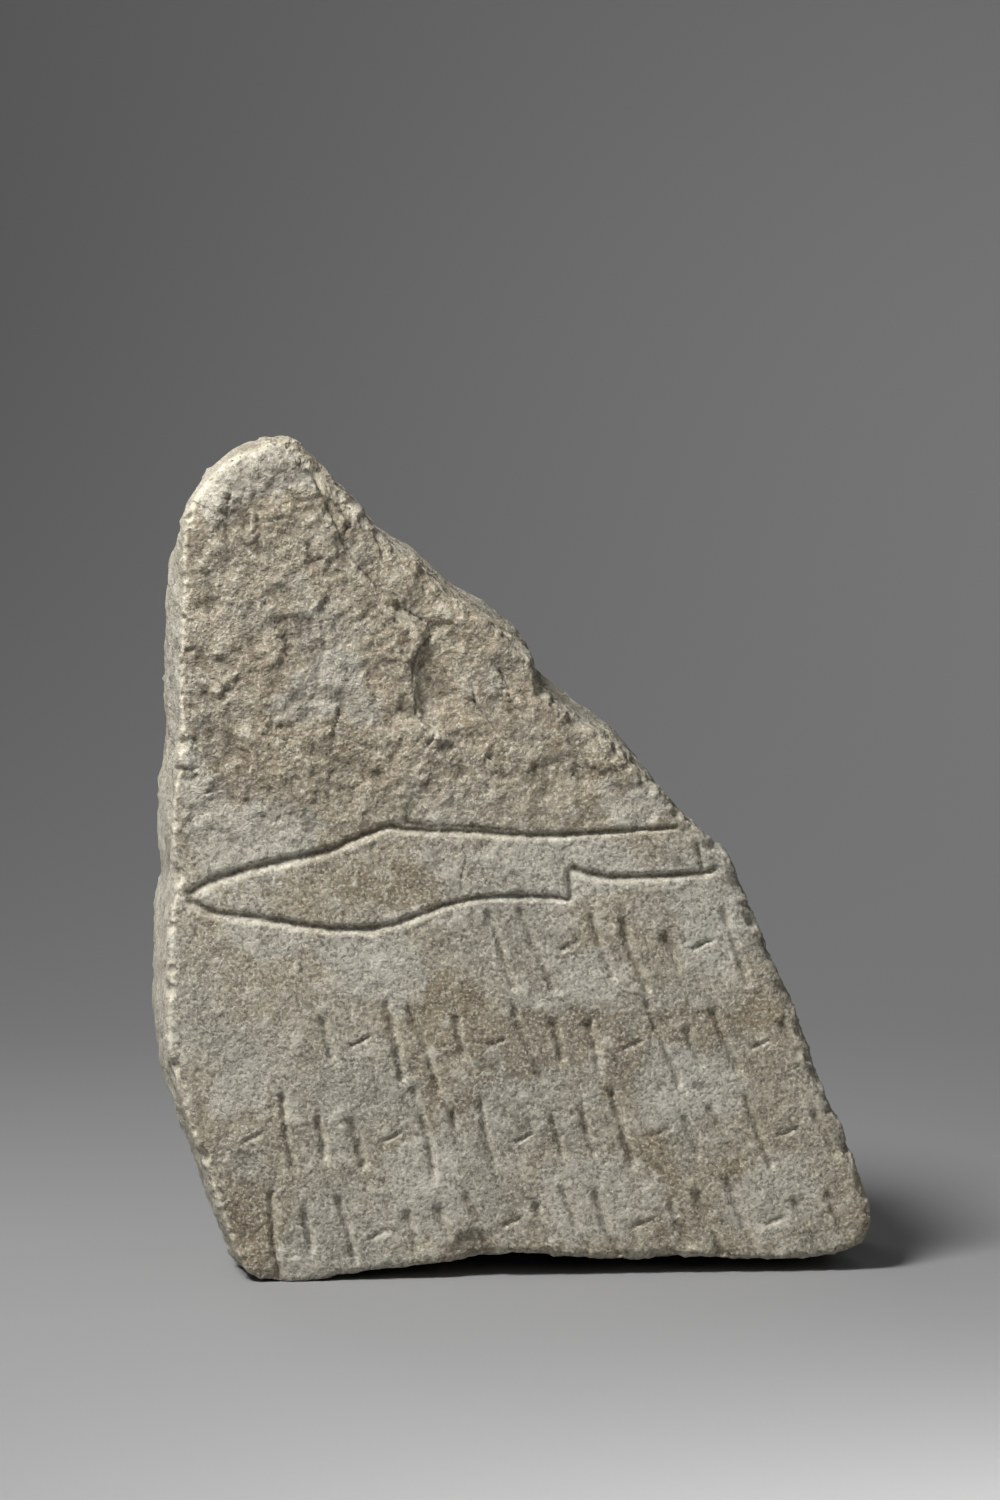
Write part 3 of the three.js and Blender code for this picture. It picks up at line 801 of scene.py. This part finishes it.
def relief(direction, point, corners):
    """The stone with its carving, breaks and grain, and the masks that colour it."""
    front, side, back = zones(direction)
    behind = point[:, 1] - FRONT
    wear_and_highlight = wear_edge(direction, point)
    normal = vertex_normals(point, corners)
    flat = point[:, [0, 2]]
    crust = crust_share(point)
    cut, groove_dirt_and_shade, lit_lip = line_depth(flat)
    scar = scar_depth(flat)[0]
    stepped, flaked = ledges(point)
    skin_deep, sunk = weathering(point, np.maximum(crust * (1 - 0.4 * flaked), 0.7 * side))
    carved = front * cut
    face = 1 - smooth(behind, 0.0, 16.0)
    swell = 0.5 * layered(point, 19, 81, 2) * (0.5 + 0.6 * crust)
    hollow = front_hollow(flat[:, 0], flat[:, 1]) + swell + scar + stepped
    shift = np.zeros_like(point)
    shift[:, 1] = face * (hollow + np.maximum(skin_deep, -0.8)) + carved

    outward = rim_at(bearing_of(direction))[1]
    leftward = smooth(-outward[:, 0], 0.3, 0.8)
    broken = 2.6 * np.abs(layered(point, 14, 101, 4, 0.6)) - 0.55
    dressed = 1.3 * layered(point, 9, 111, 3, 0.6)
    rough = (1 - leftward) * broken + leftward * dressed + 0.9 * skin_deep
    on_top = smooth(outward[:, 1], 0.3, 0.9) * smooth(point[:, 2], 176, 188)
    calm = 0.25 + 0.4 * (1 - np.maximum(leftward, on_top))
    ragged = calm + (1 - calm) * smooth(behind, 0.0, 6.0)
    shift -= (side * rough * ragged)[:, None] * normal
    picked = 1.0 * layered(point, 28, 125, 2) + 1.5 * np.abs(layered(point, 15, 127, 3))
    shift -= (back * (0.6 + picked) * smooth(back, 0, 1))[:, None] * normal
    point = point + shift
    point[:, 2] = np.maximum(point[:, 2], 0)
    # The cut mask carries painted shade on the shaded groove walls; the wear mask carries painted highlights
    # on the lit edge and groove lips
    masks = dict(cut=front * groove_dirt_and_shade, crust=crust, front=front, sunk=sunk,
                 wear_and_highlight=np.maximum(wear_and_highlight, 0.3 * front * lit_lip),
                 bare=(1 - front) * (0.3 + 0.7 * leftward),
                 pale=front * patch_share(point, PALE_PATCHES, 301),
                 stained=front * np.maximum(patch_share(point, STAINED_PATCHES, 311), 0.35 * flaked))
    return point, masks


def make_stone():
    """The stone, centred on the CAD solid, and how far that moved it across and back."""
    direction, corners = refined()
    point, masks = relief(direction, slab_point(direction), corners)
    low, high = (np.array(corner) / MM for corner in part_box("stele"))
    middle = (point.min(axis=0) + point.max(axis=0)) / 2
    moved = ((low + high) / 2 - middle)[:2]
    point[:, :2] += moved
    mesh = bpy.data.meshes.new("stele_stone")
    mesh.vertices.add(len(point))
    mesh.vertices.foreach_set("co", (point * MM).ravel())
    mesh.loops.add(corners.size)
    mesh.loops.foreach_set("vertex_index", corners.ravel().astype(np.int32))
    mesh.polygons.add(len(corners))
    mesh.polygons.foreach_set("loop_start", np.arange(0, corners.size, 3, dtype=np.int32))
    mesh.polygons.foreach_set("loop_total", np.full(len(corners), 3, dtype=np.int32))
    mesh.update(calc_edges=True)
    mesh.validate()
    for name, values in masks.items():
        layer = mesh.attributes.new(name, "FLOAT", "POINT")
        layer.data.foreach_set("value", values.astype(np.float32))
    mesh.shade_smooth()
    stone = bpy.data.objects.new("stele_stone", mesh)
    bpy.context.collection.objects.link(stone)
    return stone, moved


def new_tree(name):
    """A new material and its node tree."""
    material = bpy.data.materials.new(name)
    material.use_nodes = True
    return material, material.node_tree


def colour(red, green, blue):
    """A colour for a shader, from its display values of 0 to 255."""
    return tuple(((c / 255 + 0.055) / 1.055) ** 2.4 for c in (red, green, blue)) + (1.0,)


def add(tree, kind, inputs, output=0, **settings):
    """A node with the inputs given, which are plain values or other nodes' outputs; returns its output."""
    node = tree.nodes.new(kind)
    for name, value in settings.items():
        setattr(node, name, value)
    for key, value in inputs.items():
        if isinstance(value, bpy.types.NodeSocket):
            tree.links.new(value, node.inputs[key])
        else:
            node.inputs[key].default_value = value
    return node.outputs[output]


def blend(tree, share, first, second, kind="MIX"):
    """Goes from the first colour to the second one as the share goes from 0 to 1."""
    return add(tree, "ShaderNodeMix", {0: share, 6: first, 7: second}, 2, data_type="RGBA", blend_type=kind)


def times(tree, first, second):
    """The product of two values."""
    return add(tree, "ShaderNodeMath", {0: first, 1: second}, operation="MULTIPLY")


def plus(tree, first, second):
    """The sum of two values."""
    return add(tree, "ShaderNodeMath", {0: first, 1: second}, operation="ADD")


def stretch(tree, value, low, high, bottom=0.0, top=1.0):
    """A smooth rise from bottom to top as the value goes from low to high."""
    return add(tree, "ShaderNodeMapRange", {0: value, 1: low, 2: high, 3: bottom, 4: top},
               interpolation_type="SMOOTHSTEP")


def speckle(tree, spot, size, detail=2.0, roughness=0.5, shift=0.0):
    """Noise from 0 to 1 whose lumps are about size across, in millimetres."""
    moved = add(tree, "ShaderNodeVectorMath", {0: spot, 1: (shift, shift, shift)}, operation="ADD")
    return add(tree, "ShaderNodeTexNoise",
               {"Vector": moved, "Scale": 1 / size, "Detail": detail, "Roughness": roughness})


def mask(tree, name):
    """One of the masks kept on the mesh, by its name."""
    return add(tree, "ShaderNodeAttribute", {}, "Fac", attribute_name=name)


def patchy(tree, name, noise_value):
    """A stain's mask with its border broken up by noise."""
    uneven = plus(tree, mask(tree, name), times(tree, plus(tree, noise_value, -0.5), 1.6))
    return stretch(tree, uneven, 0.25, 0.75)


def limestone():
    """Weathered limestone: speckled grey beige, a brown crust above, bloom, stains, dirt and painted shade
    in the cuts and hollows, and painted highlights on the lit edge, the groove lips and the raised places.
    """
    material, tree = new_tree("limestone")
    shader = tree.nodes["Principled BSDF"]
    shader.inputs["Specular IOR Level"].default_value = 0.2
    spot = add(tree, "ShaderNodeVectorMath",
               {0: add(tree, "ShaderNodeTexCoord", {}, "Object"), "Scale": 1 / MM}, operation="SCALE")
    crust, sunk, cut = mask(tree, "crust"), mask(tree, "sunk"), mask(tree, "cut")
    wear_and_highlight, front = mask(tree, "wear_and_highlight"), mask(tree, "front")

    broad = stretch(tree, speckle(tree, spot, 34, 3.0), 0.35, 0.65)
    body = blend(tree, broad, colour(*STONE_GREY), colour(*STONE_WARM))
    browned = stretch(tree, speckle(tree, spot, 13, 4.0, 0.6, 40), 0.36, 0.62)
    on_face = plus(tree, times(tree, front, 0.65), 0.35)
    brown = times(tree, times(tree, crust, on_face), plus(tree, times(tree, browned, 0.50), 0.16))
    body = blend(tree, brown, body, colour(*CRUST_BROWN))
    stained = patchy(tree, "stained", speckle(tree, spot, 5.0, 5.0, 0.7, 60))
    body = blend(tree, times(tree, stained, 0.5), body, colour(*STAIN_BROWN))
    mottle = stretch(tree, speckle(tree, spot, 4.2, 5.0, 0.68, 80), 0.3, 0.7, 0.76, 1.15)
    body = blend(tree, 1.0, body, add(tree, "ShaderNodeCombineColor", {0: mottle, 1: mottle, 2: mottle}),
                 "MULTIPLY")
    bloom = patchy(tree, "pale", speckle(tree, spot, 4.0, 6.0, 0.75, 120))
    body = blend(tree, times(tree, bloom, 0.56), body, colour(*BLOOM))
    dark_grain = stretch(tree, speckle(tree, spot, 1.0, 3.0, 0.65, 160), 0.48, 0.62)
    darker = stretch(tree, crust, 0.0, 0.6, 0.58, 0.36)
    body = blend(tree, times(tree, dark_grain, darker), body, colour(*DARK_GRAIN))
    light_grain = stretch(tree, speckle(tree, spot, 0.8, 3.0, 0.65, 200), 0.5, 0.62)
    body = blend(tree, times(tree, light_grain, 0.5), body, colour(*LIGHT_GRAIN_AND_HIGHLIGHT))
    # Painted shade in the hollows of the skin, then a painted highlight on its raised places
    body = blend(tree, times(tree, stretch(tree, sunk, 0.5, 1.0), 0.6), body, colour(*DIRT_AND_SHADE))
    body = blend(tree, times(tree, stretch(tree, sunk, 0.45, 0.2), 0.42), body, colour(*LIGHT_GRAIN_AND_HIGHLIGHT))
    body = blend(tree, times(tree, mask(tree, "bare"), 0.42), body, colour(*SIDE_GREY))
    # Dirt in the cuts, with painted shade on their walls nearer the light
    body = blend(tree, times(tree, stretch(tree, cut, 0.15, 0.8), 0.6), body, colour(*DIRT_AND_SHADE))
    paler = stretch(tree, speckle(tree, spot, 2.6, 4.0, 0.7, 240), 0.38, 0.58)
    # Pale worn edge, with a painted highlight on the lit edge and on the groove lips
    body = blend(tree, times(tree, wear_and_highlight, plus(tree, times(tree, paler, 0.5), 0.35)), body, colour(*CREAM))
    tree.links.new(body, shader.inputs["Base Color"])
    tree.links.new(stretch(tree, sunk, 0.2, 1.0, 0.84, 0.97), shader.inputs["Roughness"])

    fine = times(tree, speckle(tree, spot, 1.0, 2.0, 0.6, 160), -0.28)
    coarse = times(tree, speckle(tree, spot, 2.4, 4.0, 0.65, 280), plus(tree, times(tree, crust, 0.9), 0.3))
    bump = add(tree, "ShaderNodeBump", {"Height": plus(tree, fine, coarse), "Distance": MM, "Strength": 1.0})
    tree.links.new(bump, shader.inputs["Normal"])
    return material


def make_floor():
    """A pale sweep that rises behind the stone."""
    material, tree = new_tree("pale_floor")
    shader = tree.nodes["Principled BSDF"]
    shader.inputs["Base Color"].default_value = (FLOOR_GREY, FLOOR_GREY, FLOOR_GREY, 1)
    shader.inputs["Roughness"].default_value = 0.9
    shader.inputs["Specular IOR Level"].default_value = 0.1
    half, front, back, bend, top, steps = 3.0, -2.6, 0.45, 1.1, 3.2, 24
    profile = [(front, 0.0)]
    for i in range(steps + 1):
        angle = math.radians(90 * i / steps)
        profile.append((back + bend * math.sin(angle), bend * (1 - math.cos(angle))))
    profile.append((back + bend, top))
    bm = bmesh.new()
    rows = [[bm.verts.new((x, y, z)) for x in (-half, half)] for y, z in profile]
    for (a, b), (c, d) in zip(rows, rows[1:]):
        bm.faces.new((a, b, d, c))
    mesh = bpy.data.meshes.new("floor")
    bm.to_mesh(mesh)
    bm.free()
    mesh.shade_smooth()
    mesh.materials.append(material)
    floor = bpy.data.objects.new("floor", mesh)
    bpy.context.collection.objects.link(floor)
    return floor


def area_light(name, spot, aim, size, power, spread):
    """A soft round light at a spot, aimed at a place, that shines within a cone of spread degrees."""
    data = bpy.data.lights.new(name, "AREA")
    data.shape = "DISK"
    data.size = size
    data.energy = power
    data.spread = math.radians(spread)
    light = bpy.data.objects.new(name, data)
    light.location = spot
    light.rotation_euler = (Vector(aim) - Vector(spot)).to_track_quat("-Z", "Y").to_euler()
    bpy.context.collection.objects.link(light)


def make_camera(shift):
    """The photograph's view: a long lens a metre away, a little to the left and above."""
    azimuth, elevation = math.radians(CAMERA_AZIMUTH), math.radians(CAMERA_ELEVATION)
    x, z = place((CAMERA_AIM[0] / WIDTH, CAMERA_AIM[1] / HEIGHT))
    aim = Vector((x + shift[0], FRONT + shift[1], z)) * MM
    back = Vector((math.sin(azimuth) * math.cos(elevation), -math.cos(azimuth) * math.cos(elevation),
                   math.sin(elevation)))
    data = bpy.data.cameras.new("camera")
    data.lens = CAMERA_LENS
    data.sensor_width = 36
    data.clip_end = 20
    camera = bpy.data.objects.new("camera", data)
    camera.location = aim + back * CAMERA_DISTANCE * MM
    camera.rotation_euler = (-back).to_track_quat("-Z", "Y").to_euler()
    bpy.context.collection.objects.link(camera)
    bpy.context.scene.camera = camera


stone, shift = make_stone()
stone.data.materials.append(limestone())
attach(stone, "root")
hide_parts("stele")
make_camera(shift)
make_floor()
for light_name, light_values in LIGHTS.items():
    area_light(light_name, *light_values)
world = bpy.data.worlds.new("studio")
world.use_nodes = True
background = world.node_tree.nodes["Background"]
background.inputs["Color"].default_value = (1, 1, 1, 1)
background.inputs["Strength"].default_value = WORLD_STRENGTH
bpy.context.scene.world = world
bpy.context.scene.view_settings.view_transform = "Standard"
